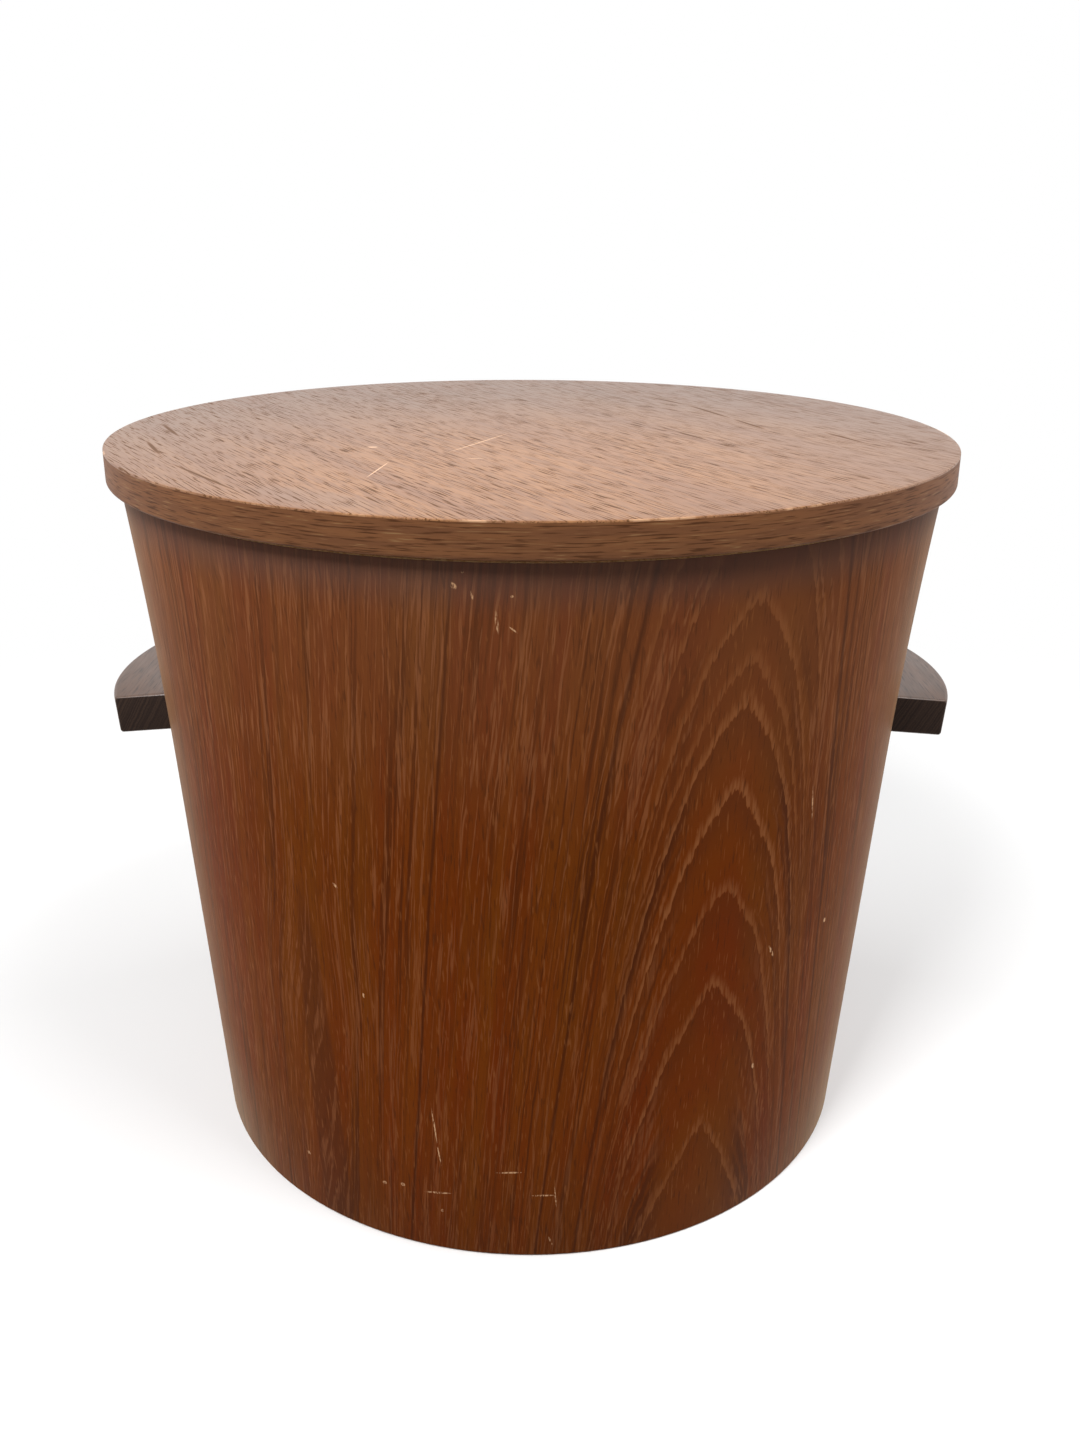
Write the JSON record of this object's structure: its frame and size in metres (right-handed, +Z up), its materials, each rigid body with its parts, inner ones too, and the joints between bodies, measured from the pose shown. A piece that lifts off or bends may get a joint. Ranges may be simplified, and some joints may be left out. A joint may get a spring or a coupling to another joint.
{
  "type": "coal bucket",
  "caption": "Round lidded hearth bucket for coal: a flared bent-plywood shell with side grips, a loose disc lid and a lift-out sheet-steel liner with drop loops.",
  "frame": {"origin": "middle of the foot, on the floor", "axes": "+Z up, +X towards the right-hand grip, -Y towards the front"},
  "size_m": [0.4316, 0.41, 0.36],
  "materials": {
    "teak_veneer": "satin oiled teak veneer",
    "lid_veneer": "worn satin teak veneer",
    "teak_lipping": "satin teak edge band",
    "dark_hardwood": "satin dark hardwood",
    "plywood": "sanded birch plywood",
    "galvanised_sheet": "galvanised",
    "steel_wire": "drawn, galvanised",
    "screw_steel": "zinc plated"
  },
  "bodies": {
    "bucket": {"body_shell": "teak_veneer", "base_disc": "plywood", "handle_right": "dark_hardwood", "handle_left": "dark_hardwood", "handle_screw_right_front": "screw_steel", "handle_screw_right_back": "screw_steel", "handle_screw_left_front": "screw_steel", "handle_screw_left_back": "screw_steel", "handle_washer_right_front": "screw_steel", "handle_washer_right_back": "screw_steel", "handle_washer_left_front": "screw_steel", "handle_washer_left_back": "screw_steel"},
    "liner": {"liner_wall": "galvanised_sheet", "liner_bottom": "galvanised_sheet", "liner_saddle_front": "galvanised_sheet", "liner_saddle_back": "galvanised_sheet", "liner_rivet_front_lower": "steel_wire", "liner_rivet_front_upper": "steel_wire", "liner_rivet_back_lower": "steel_wire", "liner_rivet_back_upper": "steel_wire"},
    "loop_front": {"liner_loop_front": "steel_wire"},
    "loop_back": {"liner_loop_back": "steel_wire"},
    "lid": {"lid_panel": "plywood", "lid_edge_band": "teak_lipping", "lid_top_veneer": "lid_veneer", "lid_locating_disc": "plywood", "lid_screw_1": "screw_steel", "lid_screw_2": "screw_steel", "lid_screw_3": "screw_steel", "lid_screw_4": "screw_steel"}
  },
  "joints": [
    {"name": "liner_lift", "type": "slide", "parent": "bucket", "child": "liner", "axis": [0, 0, 1], "range_m": [0, 0.36]},
    {"name": "lid_lift", "type": "slide", "parent": "liner", "child": "lid", "axis": [0, 0, 1], "range_m": [0, 0.35]},
    {"name": "loop_front_swing", "type": "hinge", "parent": "liner", "child": "loop_front", "pos_m": [0, -0.17011, 0.28841], "axis": [1, 0, 0], "range_deg": [0, 172]},
    {"name": "loop_back_swing", "type": "hinge", "parent": "liner", "child": "loop_back", "pos_m": [0, 0.17011, 0.28841], "axis": [-1, 0, 0], "range_deg": [0, 172]}
  ]
}
